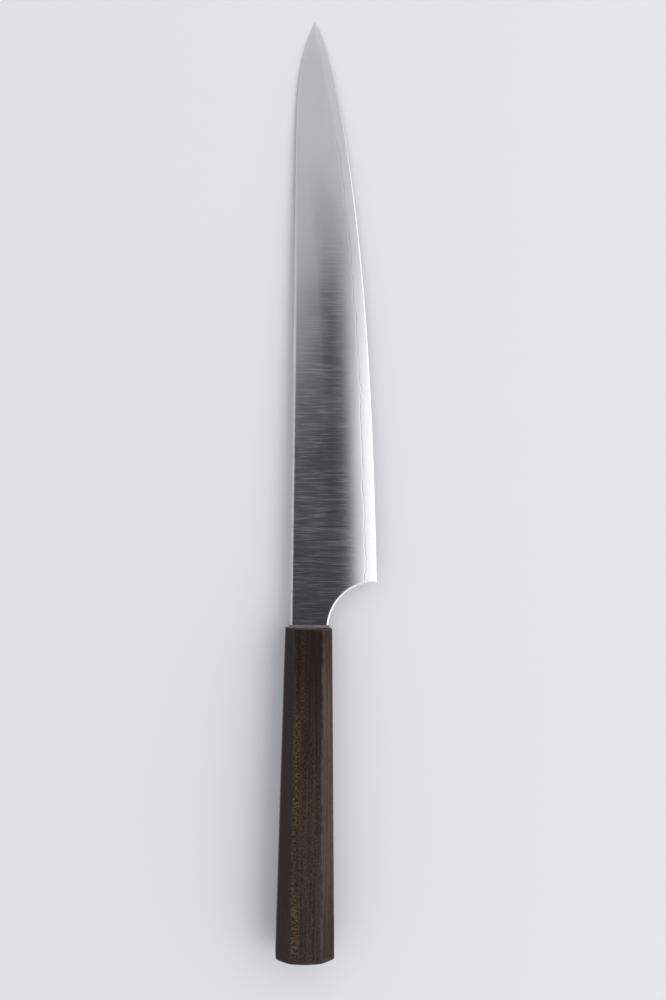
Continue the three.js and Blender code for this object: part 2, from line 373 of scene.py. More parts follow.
def choil_x(y):
    return CHOIL_X - math.sqrt(CHOIL_RADIUS**2 - (max(y, NECK_TOP) - CHOIL_Y) ** 2)


def choil_y(x):
    return CHOIL_Y + math.sqrt(CHOIL_RADIUS**2 - (CHOIL_X - x) ** 2)


print("heel at", (HEEL_X, HEEL_Y), "tip at", (TIP_X, TIP_Y), "choil round", (CHOIL_X, CHOIL_Y))

# %% [markdown]
# ## The blade's thickness and its three layers
# A hard core is forge-welded between two softer claddings. Grinding the bevel cuts through the cladding,
# so the core comes to light in a band along the edge. The border is the lamination line. It wanders,
# because forging never leaves the layers quite even, and a little noise along the blade gives that.

# %% Write the thickness and the lamination line
SPINE_AT_HEEL = 2.6
SPINE_AT_TIP = 0.9
CORE_AT_HEEL = 1.1
CORE_AT_TIP = 0.38
BEVEL_HEIGHT = 20
EDGE_HALF = 0.06
FEATHER = 0.02  # thickness of the cladding where it runs out
REVEAL = 4.2  # usual width of the bare core
REVEAL_AT_HEEL = 5.3
WANDERS = ((0.6, 19, 3.1), (0.75, 5, 7.7), (0.65, 2.2, 1.3))  # size, stretch along the blade, noise row


def taper(at_heel, at_tip, y):
    return blend(at_heel, at_tip, clamp((y - HEEL_Y) / BLADE_LENGTH)) / 2


def blade_half(from_edge, y):
    flat = taper(SPINE_AT_HEEL, SPINE_AT_TIP, y)
    return flat - (flat - EDGE_HALF) * clamp(1 - from_edge / BEVEL_HEIGHT) ** 2


def reveal(y):
    along = clamp((y - HEEL_Y) / BLADE_LENGTH)
    wander = sum(size * noise.noise((y / stretch, row, 0)) for size, stretch, row in WANDERS)
    wide = blend(REVEAL, REVEAL_AT_HEEL, (1 - along) ** 3) + wander
    width = max(0, edge_x(y) - spine_x(y))
    return wide * (1 - math.exp(-width / wide))


choil_end_x = HEEL_X - reveal(HEEL_Y)
choil_end_y = choil_y(choil_end_x)


def cladding_x(y):
    return choil_x(y) if y <= choil_end_y else edge_x(y) - reveal(y)


print("lamination line meets the choil at", (choil_end_x, choil_end_y))

# %% [markdown]
# ## Places along the blade
# Each layer is a grid whose rows run across the knife. The rows crowd where the outline turns quickly,
# round the choil and at the tip, and they are close enough to follow the wandering line.

# %% Choose the rows
CHOIL_ROWS = 44
HEEL_ROWS = 9  # close rows over the rounding above the choil
HEEL_STEP = 0.25
BLADE_ROWS = 360
TIP_CROWDING = 1.4  # above 1, the rows crowd towards the tip
TIP_STOP = 0.05  # the last row stops this short of the tip, where the width is nothing

first_turn = math.asin((NECK_TOP - CHOIL_Y) / CHOIL_RADIUS)
last_turn = math.asin((choil_end_y - CHOIL_Y) / CHOIL_RADIUS)
row_places = [0]
for step in range(CHOIL_ROWS + 1):
    turn = blend(first_turn, last_turn, step / CHOIL_ROWS)
    row_places.append(CHOIL_Y + CHOIL_RADIUS * math.sin(turn))
heel_row = len(row_places) - 1
row_places += [choil_end_y + HEEL_STEP * step for step in range(1, HEEL_ROWS + 1)]
heel_top = row_places[-1]
for step in range(1, BLADE_ROWS + 1):
    gone = 1 - (1 - step / BLADE_ROWS) ** TIP_CROWDING
    row_places.append(blend(heel_top, TIP_Y - TIP_STOP, gone))
print(len(row_places), "rows, the heel is row", heel_row)

# %% [markdown]
# ## Finishing a mesh
# Every piece ends the same way: its normals are set outwards, its crisp corners are marked sharp, the
# level drawing is carried to its place on the table, and the object rides on the knife's one body and
# stands for its CAD node.

# %% Write the finishing helper


def finish_piece(name, bm, nodes, crisp_degrees=35):
    bmesh.ops.recalc_face_normals(bm, faces=bm.faces[:])
    crisp = math.radians(crisp_degrees)
    for face in bm.faces:
        face.smooth = True
    for edge in bm.edges:
        if len(edge.link_faces) == 2 and edge.calc_face_angle() > crisp:
            edge.smooth = False
    bmesh.ops.transform(bm, matrix=lie, verts=bm.verts[:])
    open_edges = sum(not edge.is_manifold for edge in bm.edges)
    mesh = bpy.data.meshes.new(name)
    bm.to_mesh(mesh)
    bm.free()
    piece = place_object(name, mesh)
    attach(piece, "root")
    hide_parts(*nodes)
    print(name, "has", len(mesh.polygons), "faces and", open_edges, "open edges")
    return piece


# %% [markdown]
# ## The claddings
# A cladding could be a solid cut by booleans, but then its shading would break up in slivers. Instead a
# grid is bent into place, one row for each place along the knife. Its first columns climb the spine
# and round its corner, the middle ones cross the flat and the bevel, and the last ones round the choil.
# A bridge between its two long sides closes the inner face, and the two open ends are filled.

# %% Bend a grid into each cladding
SPINE_EASE = 1.1  # how far the rounding of the spine reaches in
CHOIL_EASE = 1.15  # how far the rounding of the choil reaches in
EASE_DEPTH = 0.4  # how far down both reach
SPINE_EASE_LIMIT = 0.2  # share of a row's width that the spine's rounding may take
EASE_DEPTH_LIMIT = 0.7  # share of the thickness that a rounding may take
CORE_LIMIT = 0.55  # share of the spine's thickness that the core may take
ROUND_STEPS = 8
FACE_COLUMNS = 46
NEAR_ROUND = 0.004  # share of the width at which the first column follows the rounding
face_shares = [0, NEAR_ROUND]
face_shares += [step / FACE_COLUMNS for step in range(1, FACE_COLUMNS)]
face_shares += [1 - NEAR_ROUND, 1]


def core_half(y):
    at_spine = blade_half(edge_x(y) - spine_x(y), y)
    return min(taper(CORE_AT_HEEL, CORE_AT_TIP, y), CORE_LIMIT * at_spine)


def choil_gap(x, y):
    if y < NECK_TOP:
        return choil_x(y) - x
    return math.hypot(x - CHOIL_X, y - CHOIL_Y) - CHOIL_RADIUS


def face_height(x, y):
    half = blade_half(edge_x(y) - x, y)
    bare = clamp(1 - choil_gap(x, y) / CHOIL_EASE)
    return half - min(EASE_DEPTH, EASE_DEPTH_LIMIT * half) * (1 - math.sqrt(1 - bare**2))


def cladding_row(y):
    left, right = spine_x(y), cladding_x(y)
    outer_left = blade_half(edge_x(y) - left, y)
    inner = min(core_half(y), outer_left - FEATHER)
    inner_right = face_height(right, y) - FEATHER
    if y <= choil_end_y:
        inner_right = min(inner, inner_right)
    reach_left = min(SPINE_EASE, SPINE_EASE_LIMIT * (right - left))
    depth_left = min(EASE_DEPTH, EASE_DEPTH_LIMIT * (outer_left - inner))
    reach_right = CHOIL_EASE if y <= choil_end_y else FEATHER / 2
    points = [(left, inner)]
    for step in range(ROUND_STEPS):
        turn = math.pi / 2 * step / ROUND_STEPS
        rise = outer_left - depth_left * (1 - math.sin(turn))
        points.append((left + reach_left * (1 - math.cos(turn)), rise))
    for share in face_shares:
        x = blend(left + reach_left, right - reach_right, share)
        points.append((x, face_height(x, y)))
    for step in range(1, ROUND_STEPS + 1):
        turn = math.pi / 2 * step / ROUND_STEPS
        x = right - reach_right * (1 - math.sin(turn))
        points.append((x, face_height(x, y)))
    points.append((right, inner_right))
    return points


def make_cladding(name, node, side):
    bm = bmesh.new()
    rows = [cladding_row(y) for y in row_places]
    last_row, last_column = len(rows) - 1, len(rows[0]) - 1
    from_line = bm.verts.layers.float.new("from_line")
    grid = bmesh.ops.create_grid(bm, x_segments=last_column, y_segments=last_row, size=0.5)
    column_of = {}
    for vert in grid["verts"]:
        column = round((vert.co.x + 0.5) * last_column)
        row = round((vert.co.y + 0.5) * last_row)
        x, z = rows[row][column]
        vert[from_line] = rows[row][-1][0] - x if row >= heel_row else HEEL_HEIGHT
        vert.co = (x, row_places[row], side * z)
        column_of[vert] = column
    long_sides = [
        edge for column in (0, last_column) for edge in bm.edges
        if all(column_of[vert] == column for vert in edge.verts)
    ]
    bmesh.ops.bridge_loops(bm, edges=long_sides)
    bmesh.ops.holes_fill(bm, edges=[edge for edge in bm.edges if edge.is_boundary], sides=0)
    return finish_piece(name, bm, [node])


right_cladding = make_cladding("right_cladding", "cladding_right", 1)
left_cladding = make_cladding("left_cladding", "cladding_left", -1)

# %% [markdown]
# ## The core
# The core runs through the middle of the blade, from the neck to the tip. Its hidden part is a plain
# grid. From the lamination line the border is extruded again and again down the bevel, and the
# last step is the narrow honed bevel at the edge. Extruding the whole sheet and turning the copy over
# gives the other side and the walls in one go.

# %% Extrude the core down to the edge
HIDDEN_COLUMNS = 6
BAND_COLUMNS = 12
HONED = 0.4  # width of the honed bevel
HONED_LIMIT = 0.3  # share of the bare core that it may take
HONED_HALF = 0.02
UNDER_LINE_POWER = 8  # how late the hidden part of the core rises to the lamination line
HEEL_SETTLE = 6  # stretch over which the rows turn from the choil to level


def verts_of(grown):
    return [item for item in grown["geom"] if isinstance(item, bmesh.types.BMVert)]


def edges_of(grown):
    return [item for item in grown["geom"] if isinstance(item, bmesh.types.BMEdge)]


def core_height(share, y):
    cover = face_height(blend(spine_x(y), cladding_x(y), share), y) - FEATHER
    if y < choil_end_y:
        return min(core_half(y), cover)
    return min(blend(core_half(y), cover + FEATHER, share**UNDER_LINE_POWER), cover + FEATHER * share)


core_bm = bmesh.new()
core_from_line = core_bm.verts.layers.float.new("from_line")
row_layer = core_bm.verts.layers.int.new("row")
core_grid = bmesh.ops.create_grid(
    core_bm, x_segments=HIDDEN_COLUMNS, y_segments=len(row_places) - 1, size=0.5
)
line_verts = set()
for vert in core_grid["verts"]:
    share = vert.co.x + 0.5
    row = round((vert.co.y + 0.5) * (len(row_places) - 1))
    y = row_places[row]
    vert.co = (blend(spine_x(y), cladding_x(y), share), y, core_height(share, y))
    vert[row_layer] = row
    vert[core_from_line] = 0 if row >= heel_row else HEEL_HEIGHT
    if share > 0.999 and row >= heel_row:
        line_verts.add(vert)
border = [edge for edge in core_bm.edges if set(edge.verts) <= line_verts]
for edge in border:
    edge.smooth = False

for step in range(1, BAND_COLUMNS + 2):
    grown = bmesh.ops.extrude_edge_only(core_bm, edges=border)
    border = edges_of(grown)
    for vert in verts_of(grown):
        y = row_places[vert[row_layer]]
        honed = min(HONED, HONED_LIMIT * reveal(y))
        done = step > BAND_COLUMNS
        from_edge = 0 if done else blend(reveal(y), honed, step / BAND_COLUMNS)
        vert[core_from_line] = reveal(y) - from_edge
        heel_lift = choil_y(max(choil_end_x, edge_x(y) - from_edge)) - choil_end_y
        y += heel_lift * clamp(1 - (y - choil_end_y) / HEEL_SETTLE)
        x = edge_x(y) - from_edge
        vert.co = (x, y, min(HONED_HALF, face_height(x, y)) if done else face_height(x, y))
core_bm.verts.layers.int.remove(row_layer)

sheet_faces = core_bm.faces[:]
turned = bmesh.ops.extrude_face_region(core_bm, geom=sheet_faces, use_keep_orig=True)
for vert in verts_of(turned):
    vert.co.z = -vert.co.z
blade_core = finish_piece("blade_core", core_bm, ["core_steel"])

# %% [markdown]
# ## The handle
# The handle is one piece of dark wood, planed to eight facets and widening to the butt. A bevel softens
# the ridges, because hands and sandpaper do. The facets are then split lengthwise, so that the butt can
# be domed, and the rims get a bevel of their own. The bore for the tang is a circle bridged to the
# front rim and extruded inwards.

# %% Bevel and split the facets
HANDLE_LENGTH = 141.5
MOUTH_SIZES = (19.8, 17, 3.9)  # width, thickness and chamfer
BUTT_SIZES = (25, 21, 5.6)
RIDGE_EASE = 0.55
RIDGE_STEPS = 4
FACET_CUTS = 9
SHORTEST_FACET = 2  # every facet's end is longer than this, and each step of a bevel is shorter


def octagon_corner(direction, sizes):
    width, thickness, chamfer = sizes
    across = Vector((math.copysign(1, direction.x), 0, math.copysign(1, direction.z)))
    if abs(direction.x) > abs(direction.z):
        return Vector((across.x * width / 2, 0, across.z * (thickness / 2 - chamfer)))
    return Vector((across.x * (width / 2 - chamfer), 0, across.z * thickness / 2))


def length_along(edge):
    return abs(edge.verts[0].co.y - edge.verts[1].co.y)


def ease_edges(edges, width, steps):
    bmesh.ops.bevel(
        handle_bm, geom=edges, offset=width, segments=steps, profile=0.5, affect="EDGES", material=-1
    )


handle_bm = bmesh.new()
ridge_layer = handle_bm.verts.layers.float.new("ridge_mark")
facing_layer = handle_bm.verts.layers.float.new("facing")
bmesh.ops.create_circle(handle_bm, cap_ends=True, segments=8, radius=1)
bmesh.ops.rotate(handle_bm, verts=handle_bm.verts, matrix=Matrix.Rotation(math.radians(22.5), 3, "Z"))
bmesh.ops.rotate(handle_bm, verts=handle_bm.verts, matrix=Matrix.Rotation(math.radians(90), 3, "X"))
directions = {vert: vert.co.copy() for vert in handle_bm.verts}
for vert, direction in directions.items():
    vert.co = octagon_corner(direction, MOUTH_SIZES)
grown = bmesh.ops.extrude_face_region(handle_bm, geom=handle_bm.faces[:], use_keep_orig=True)
for vert in verts_of(grown):
    vert.co = octagon_corner(vert.co, BUTT_SIZES)
    vert.co.y = -HANDLE_LENGTH
ridges = [edge for edge in handle_bm.edges if length_along(edge) > 1]
ease_edges(ridges, RIDGE_EASE, RIDGE_STEPS)
facet_ends = [
    edge for edge in handle_bm.edges if length_along(edge) < 0.1 and edge.calc_length() > SHORTEST_FACET
]
bmesh.ops.subdivide_edges(handle_bm, edges=facet_ends, cuts=FACET_CUTS, use_grid_fill=True)
print("handle has", len(ridges), "ridges, each facet is split in", FACET_CUTS + 1)

# %% Dome the butt
DOME_RADIUS = 60
DOME_RINGS = 8
DOME_INSIDE = 0.02  # keeps the smooth dome inside the faceted solid


def dome_y(x, z):
    return DOME_INSIDE - HANDLE_LENGTH + DOME_RADIUS - math.sqrt(DOME_RADIUS**2 - x * x - z * z)


butt_cap = min(handle_bm.faces, key=lambda face: face.calc_center_median().y)
mouth_cap = max(handle_bm.faces, key=lambda face: face.calc_center_median().y)
butt_rim = butt_cap.edges[:]
mouth_rim = mouth_cap.edges[:]
bmesh.ops.delete(handle_bm, geom=[mouth_cap], context="FACES_ONLY")
for vert in butt_cap.verts:
    ridge = max(vert.link_edges, key=lambda edge: edge.calc_length())
    front = ridge.other_vert(vert).co
    vert.co = front.lerp(vert.co, -dome_y(vert.co.x, vert.co.z) / HANDLE_LENGTH)
cap = butt_cap
for ring in range(1, DOME_RINGS + 1):
    grown = bmesh.ops.extrude_face_region(handle_bm, geom=[cap])["geom"]
    bmesh.ops.delete(handle_bm, geom=[cap], context="FACES_ONLY")
    cap = next(item for item in grown if isinstance(item, bmesh.types.BMFace))
    shrink = (DOME_RINGS + 1 - ring) / (DOME_RINGS + 2 - ring)
    for vert in cap.verts:
        vert.co.x *= shrink
        vert.co.z *= shrink
        vert.co.y = dome_y(vert.co.x, vert.co.z)
bmesh.ops.poke(handle_bm, faces=[cap])
print("butt has", len(butt_rim), "edges round its rim")

# %% Open the bore and ease the rims
BORE_RADIUS = 6.5
BORE_DEPTH = 111.5
BORE_STEPS = 64
RIM_EASES = ((butt_rim, 1.0, 5), (mouth_rim, 0.3, 3))  # each rim with the width and steps of its bevel
bore = bmesh.ops.create_circle(handle_bm, segments=BORE_STEPS, radius=BORE_RADIUS)["verts"]
bmesh.ops.rotate(handle_bm, verts=bore, matrix=Matrix.Rotation(math.radians(90), 3, "X"))
bore_rim = list(dict.fromkeys(edge for vert in bore for edge in vert.link_edges))
bmesh.ops.bridge_loops(handle_bm, edges=mouth_rim + bore_rim)
grown = bmesh.ops.extrude_edge_only(handle_bm, edges=bore_rim)
bore_end = edges_of(grown)
for vert in verts_of(grown):
    vert.co.y = -BORE_DEPTH
bmesh.ops.holes_fill(handle_bm, edges=bore_end, sides=0)
for rim, ease, steps in RIM_EASES:
    ease_edges(rim, ease, steps)
print("handle has", len(handle_bm.faces), "faces with its bore")

# %% Mark the ridges, for their wear and painted highlight, and the way each facet faces
RIM_LOOPS = (-1.2, -3, -HANDLE_LENGTH + 6, -HANDLE_LENGTH + 4)  # where the ridge mark and facing settle
RIDGE_ANGLE = math.radians(4)
for loop_y in RIM_LOOPS:
    everything = handle_bm.verts[:] + handle_bm.edges[:] + handle_bm.faces[:]
    bmesh.ops.bisect_plane(handle_bm, geom=everything, plane_co=(0, loop_y, 0), plane_no=(0, 1, 0))
bmesh.ops.recalc_face_normals(handle_bm, faces=handle_bm.faces[:])
handle_bm.normal_update()
for vert in handle_bm.verts:
    bend = max(edge.calc_face_angle(0) for edge in vert.link_edges)
    in_bore = math.hypot(vert.co.x, vert.co.z) < BORE_RADIUS + 0.1
    vert[ridge_layer] = float(bend > RIDGE_ANGLE and not in_bore)
    vert[facing_layer] = vert.normal.x
print(sum(vert[ridge_layer] for vert in handle_bm.verts), "worn points of", len(handle_bm.verts))
wood_handle = finish_piece("wood_handle", handle_bm, ["handle_body"])

# %% [markdown]
# ## The sealing bead
# A thin run of sealant closes the gap between the neck and the wood. It is smoothed by a finger, so it
# is a low fillet with a slightly uneven edge. A ring of points round the neck is extruded along the
# fillet's profile, and noise moves it a little in and out.

# %% Run the bead round the neck
BEAD_FOOT = 0.7
BEAD_RISE = 1.2
BEAD_BOTTOM = 0.05
BEAD_WAVE = 0.22  # how much of its size the bead's edge gains or loses
WAVE_CIRCLE = 3  # the wave's noise is read round a circle of this radius
WAVE_ROW = 2.2
BEAD_CORNER = 0.3  # how near a corner of the neck the bead starts to turn
NECK_HALF = SPINE_AT_HEEL / 2
NECK_MIDDLE = (SPINE_X + NECK_X) / 2
NECK_SIDE = (NECK_X - SPINE_X) / 2
BEAD_SQUEEZE = 0.8  # how far the ring's points are drawn towards the neck's two ends
BEAD_PROFILE = (  # how far out and how high the fillet's points lie, as shares of its foot and rise
    (0.02, 1), (0.16, 0.93), (0.32, 0.78), (0.5, 0.55), (0.72, 0.3), (0.92, 0.12), (1, 0.04)
)


def bead_point(turn, out, rise):
    wave_place = (WAVE_CIRCLE * math.cos(turn), WAVE_CIRCLE * math.sin(turn), WAVE_ROW)
    wave = 1 + BEAD_WAVE * noise.noise(wave_place)
    spread = BEAD_FOOT * min(1, out * wave)
    corner = Vector((math.cos(turn), math.sin(turn)))
    reach = max(abs(corner.x) / NECK_SIDE, abs(corner.y) / NECK_HALF)
    on_neck = corner / reach
    outward = Vector((
        max(0, abs(on_neck.x) - NECK_SIDE + BEAD_CORNER) * math.copysign(1, on_neck.x),
        max(0, abs(on_neck.y) - NECK_HALF + BEAD_CORNER) * math.copysign(1, on_neck.y),
    )).normalized()
    place = on_neck + outward * spread
    return Vector((NECK_MIDDLE + place.x, BEAD_BOTTOM + BEAD_RISE * min(1, rise * wave), place.y))


BEAD_STEPS = 120
bead_bm = bmesh.new()
turn_layer = bead_bm.verts.layers.float.new("turn")
ring = bmesh.ops.create_circle(bead_bm, segments=BEAD_STEPS, radius=1)["verts"]
for vert in ring:
    around = math.atan2(vert.co.y, vert.co.x)
    squeezed = math.atan2(math.sin(around) * NECK_HALF, math.cos(around) * NECK_SIDE)
    vert[turn_layer] = blend(around, squeezed, BEAD_SQUEEZE)
    vert.co = bead_point(vert[turn_layer], 0, 0)
bead_edges = bead_bm.edges[:]
first_edges = bead_edges
for out, rise in BEAD_PROFILE:
    grown = bmesh.ops.extrude_edge_only(bead_bm, edges=bead_edges)
    bead_edges = edges_of(grown)
    for vert in verts_of(grown):
        vert.co = bead_point(vert[turn_layer], out, rise)
bmesh.ops.bridge_loops(bead_bm, edges=first_edges + bead_edges)
sealing_bead = finish_piece("sealing_bead", bead_bm, ["mouth_bead"], crisp_degrees=70)

# %% [markdown]
# ## Places for the patterns
# Every pattern is drawn in the level drawing's own millimetres. A Mapping node of the Texture kind undoes
# the knife's lean and its place on the table, so that "across the blade" is x in each material.

# %% Write the pattern helpers
NOISE_SPAN = (0.3, 0.7)  # a noise mostly lies between these


def knife_place(tree):
    spot = add_node(tree, "TexCoord").outputs["Object"]
    level = add_node(tree, "Mapping", {"Vector": spot}, vector_type="TEXTURE")
    level.inputs["Location"].default_value = mouth_place
    level.inputs["Rotation"].default_value = (lean, 0, 0)
    level.inputs["Scale"].default_value = (MM, MM, MM)
    return level.outputs["Vector"]


def stretched_noise(tree, place, grain, detail=1.0, rough=0.5, turn=0.0):
    """Noise whose blotches measure about grain, in millimetres along x, y and z, turned by degrees."""
    fitted = add_node(tree, "Mapping", {"Vector": place}, vector_type="TEXTURE")
    fitted.inputs["Scale"].default_value = grain
    fitted.inputs["Rotation"].default_value = (0, 0, math.radians(turn))
    made = add_node(tree, "TexNoise", {"Vector": fitted.outputs["Vector"], "Scale": 1.0})
    made.inputs["Detail"].default_value = detail
    made.inputs["Roughness"].default_value = rough
    return made.outputs["Fac"]


def dress(tree, shader, tone, rough, height=None, depth=0.0):
    """Link a finish's colour and roughness to its shader, and a height of some depth as bump."""
    tree.links.new(tone, shader.inputs["Base Color"])
    tree.links.new(rough, shader.inputs["Roughness"])
    if height is not None:
        bump = add_node(tree, "Bump", {"Height": height, "Distance": depth, "Strength": 1})
        tree.links.new(bump.outputs["Normal"], shader.inputs["Normal"])


# %% [markdown]
# ## Ground steel
# The blade is ground and then rubbed across, from spine to edge, so very fine lines run that way. Noise
# that is stretched along x gives them. A fine and a broad layer spread the reflections along the blade,
# a sparse one leaves single brighter scratches, and another leaves darker grooves, which are deepest
# near the handle. Core, claddings and tang share the lines as a node group.

# %% Build the grinding lines
FINE_LINE = (10, 0.26, 2)  # length across the blade, width along it, and depth
BROAD_LINE = (24, 0.8, 2)
SCRATCH = (7, 0.26, 2.5)
GROOVE = (8, 0.3, 2.5)
SCRATCH_SHARE = 0.55  # how much each of the two kinds of bright line adds
BRIGHT_SPAN = (0.42, 0.7)  # noise at which a fine line starts to show bright, and fully does
SCRATCH_SPAN = (0.6, 0.74)  # reached seldom, so the scratches are sparse
GROOVE_SPAN = (0.4, 0.26)

lines_group, place = start_group("grinding_lines", ["Height", "Scratches", "Grooves"])
fine_lines = stretched_noise(lines_group, place, FINE_LINE, turn=0.7)
broad_lines = stretched_noise(lines_group, place, BROAD_LINE, turn=-0.5)
scratch_noise = stretched_noise(lines_group, place, SCRATCH, detail=0, turn=1.2)
groove_noise = stretched_noise(lines_group, place, GROOVE, detail=0, turn=-0.9)
bright_lines = ranged(lines_group, fine_lines, *BRIGHT_SPAN, 0, SCRATCH_SHARE)
bright_scratches = ranged(lines_group, scratch_noise, *SCRATCH_SPAN, 0, SCRATCH_SHARE)
scratches = math_node(lines_group, "ADD", bright_lines, bright_scratches)
grooves = ranged(lines_group, groove_noise, *GROOVE_SPAN)
height = math_node(lines_group, "ADD", fine_lines, broad_lines)
height = math_node(lines_group, "SUBTRACT", height, scratches)
finish_group(lines_group, {"Height": height, "Scratches": scratches, "Grooves": grooves})

# %% Write the steel's finish
CLOUD = (20, 33, 20)
CLOUD_ROUGH = 0.02  # roughness that the clouds add at most
SCRATCH_TONE = (0.8, 0.8, 0.8)
SCRATCH_STRENGTH = 0.1
SCRATCH_ALONG = (30, 110)
SCRATCH_ROUGH = (0.068, 0.048)  # roughness that scratches add at these two places along the blade
GROOVE_TONE = (0.2, 0.2, 0.21)
GROOVE_AWAY = (3, 11)
GROOVE_DEPTHS = (0.03, 0.18)  # the grooves' depth at these two distances from the lamination line
GROOVE_ALONG = (25, 165)
GROOVE_GAINS = (1.8, 0.15)  # times as deep at these two places along the blade
LINE_AWAY = (0.2, 0.55)  # distances at which the lamination line starts to fade and is gone
LINE_STRENGTH = 0.8
LINE_PATCH = (9, 5, 9)  # stretches over which the lamination line shows more or less
LINE_PATCH_SPAN = (0.35, 0.65)
LINE_FAINTEST = 0.3
LINE_ALONG = (185, 225)  # it fades out between these, towards the tip
LINE_AT_TIP = 0.2


def steel_finish(name, dark, light, smooth, line_depth, line_tone):
    """Two clouded tones, the lowest roughness, the depth of the lines and the lamination line's tone."""
    material, tree, shader = start_material(name)
    place = knife_place(tree)
    along = add_node(tree, "SeparateXYZ", {"Vector": place}).outputs["Y"]
    from_line = add_node(tree, "Attribute", attribute_name="from_line").outputs["Fac"]
    lines = add_node(tree, "Group", {"Place": place}, node_tree=lines_group).outputs
    clouds = stretched_noise(tree, place, CLOUD, detail=3, rough=0.55)
    tone = mixed(tree, ranged(tree, clouds, *NOISE_SPAN), dark, light)
    tone = mixed(tree, times(tree, lines["Scratches"], SCRATCH_STRENGTH), tone, SCRATCH_TONE)

    groove_depth = ranged(tree, from_line, *GROOVE_AWAY, *GROOVE_DEPTHS)
    groove_depth = times(tree, groove_depth, ranged(tree, along, *GROOVE_ALONG, *GROOVE_GAINS))
    tone = mixed(tree, times(tree, lines["Grooves"], groove_depth), tone, GROOVE_TONE)

    near_line = ranged(tree, from_line, *LINE_AWAY, LINE_STRENGTH, 0)
    fading = ranged(tree, stretched_noise(tree, place, LINE_PATCH), *LINE_PATCH_SPAN, LINE_FAINTEST, 1)
    fading = times(tree, fading, ranged(tree, along, *LINE_ALONG, 1, LINE_AT_TIP))
    tone = mixed(tree, times(tree, near_line, fading), tone, line_tone)

    rough = ranged(tree, clouds, *NOISE_SPAN, smooth, smooth + CLOUD_ROUGH)
    scratch_rough = times(tree, lines["Scratches"], ranged(tree, along, *SCRATCH_ALONG, *SCRATCH_ROUGH))
    rough = math_node(tree, "ADD", rough, scratch_rough)
    shader.inputs["Metallic"].default_value = 1
    dress(tree, shader, tone, rough, lines["Height"], line_depth)
    print(name, "ready")
    return material


# %% Finish the claddings, the core and the tang
CORE_LINE_TONE = (0.42, 0.43, 0.44)
cladding_finish = steel_finish(
    "ground_cladding", dark=(0.62, 0.625, 0.64), light=(0.67, 0.675, 0.69),
    smooth=0.12, line_depth=1.6e-6, line_tone=(0.85, 0.85, 0.85),
)
core_finish = steel_finish(
    "ground_core", dark=(0.66, 0.67, 0.68), light=(0.7, 0.71, 0.72),
    smooth=0.14, line_depth=2e-6, line_tone=CORE_LINE_TONE,
)
tang_finish = steel_finish(
    "sawn_tang", dark=(0.36, 0.37, 0.38), light=(0.44, 0.45, 0.46),
    smooth=0.4, line_depth=8e-6, line_tone=CORE_LINE_TONE,
)
right_cladding.data.materials.append(cladding_finish)
left_cladding.data.materials.append(cladding_finish)
blade_core.data.materials.append(core_finish)

# %% [markdown]
# ## Wood
# The handle's wood is nearly black brown. Long streaks and fine dark pores run along the grain. Where the
# cut meets the rays side on, short golden flecks show across the grain, most of all on the left half of
# the top facet. Streaks and pores are a node group, because the dowel inside has them too.

# %% Build the grain
STREAK = (0.8, 75, 0.9)
PORE = (0.25, 2.2, 0.25)
PORE_SPAN = (0.58, 0.7)
grain_group, place = start_group("long_grain", ["Streaks", "Pores"])
streaks = stretched_noise(grain_group, place, STREAK, detail=3, rough=0.6)
pores = ranged(grain_group, stretched_noise(grain_group, place, PORE), *PORE_SPAN)
finish_group(grain_group, {"Streaks": streaks, "Pores": pores})

# %% Colour the handle by place, with painted light and painted sheen on its side facets
TOP_AT_MOUTH = (0.0188, 0.0105, 0.0079)
TOP_AT_BUTT = (0.0345, 0.0222, 0.0198)
# Painted sheen: the left facets are greyer and paler than the top, as if they mirrored pale surroundings
LEFT_PAINTED_SHEEN = (0.033, 0.0245, 0.0222)
# Painted light: the right facets are paler and warmer, as if lit from the right, and dimmer near the mouth
# and the butt
RIGHT_PAINTED_LIGHT_AT_ENDS = (0.036, 0.0206, 0.0157)
RIGHT_PAINTED_LIGHT = (0.065, 0.0417, 0.0336)
ASIDE_FROM = 0.2  # how far a facet leans aside where its own shade starts to show
ASIDE_TO = 0.5
TOP_CHANGE = (-5, -100)  # where the top's shade leaves that of the mouth and becomes that of the butt
MOUTH_CHANGE = (-2, -30)  # where the right facets' painted light leaves its dimmer value at the mouth
BUTT_CHANGE = (8 - HANDLE_LENGTH, -95)  # and its dimmer value at the butt
DARK_ACROSS = (-8, 1)
DARK_LEFT = 0.55  # what is left of the top's shade at the first of these

wood_finish, wood_tree, wood_shader = start_material("dark_flecked_wood")
place = knife_place(wood_tree)
wood_axes = add_node(wood_tree, "SeparateXYZ", {"Vector": place}).outputs
facing = add_node(wood_tree, "Attribute", attribute_name="facing").outputs["Fac"]
to_left = ranged(wood_tree, facing, -ASIDE_FROM, -ASIDE_TO)
to_right = ranged(wood_tree, facing, ASIDE_FROM, ASIDE_TO)
to_butt = ranged(wood_tree, wood_axes["Y"], *TOP_CHANGE)
from_mouth = ranged(wood_tree, wood_axes["Y"], *MOUTH_CHANGE)
from_butt = ranged(wood_tree, wood_axes["Y"], *BUTT_CHANGE)
from_ends = math_node(wood_tree, "MINIMUM", from_mouth, from_butt)
tone_and_facet_light = mixed(wood_tree, to_butt, TOP_AT_MOUTH, TOP_AT_BUTT)
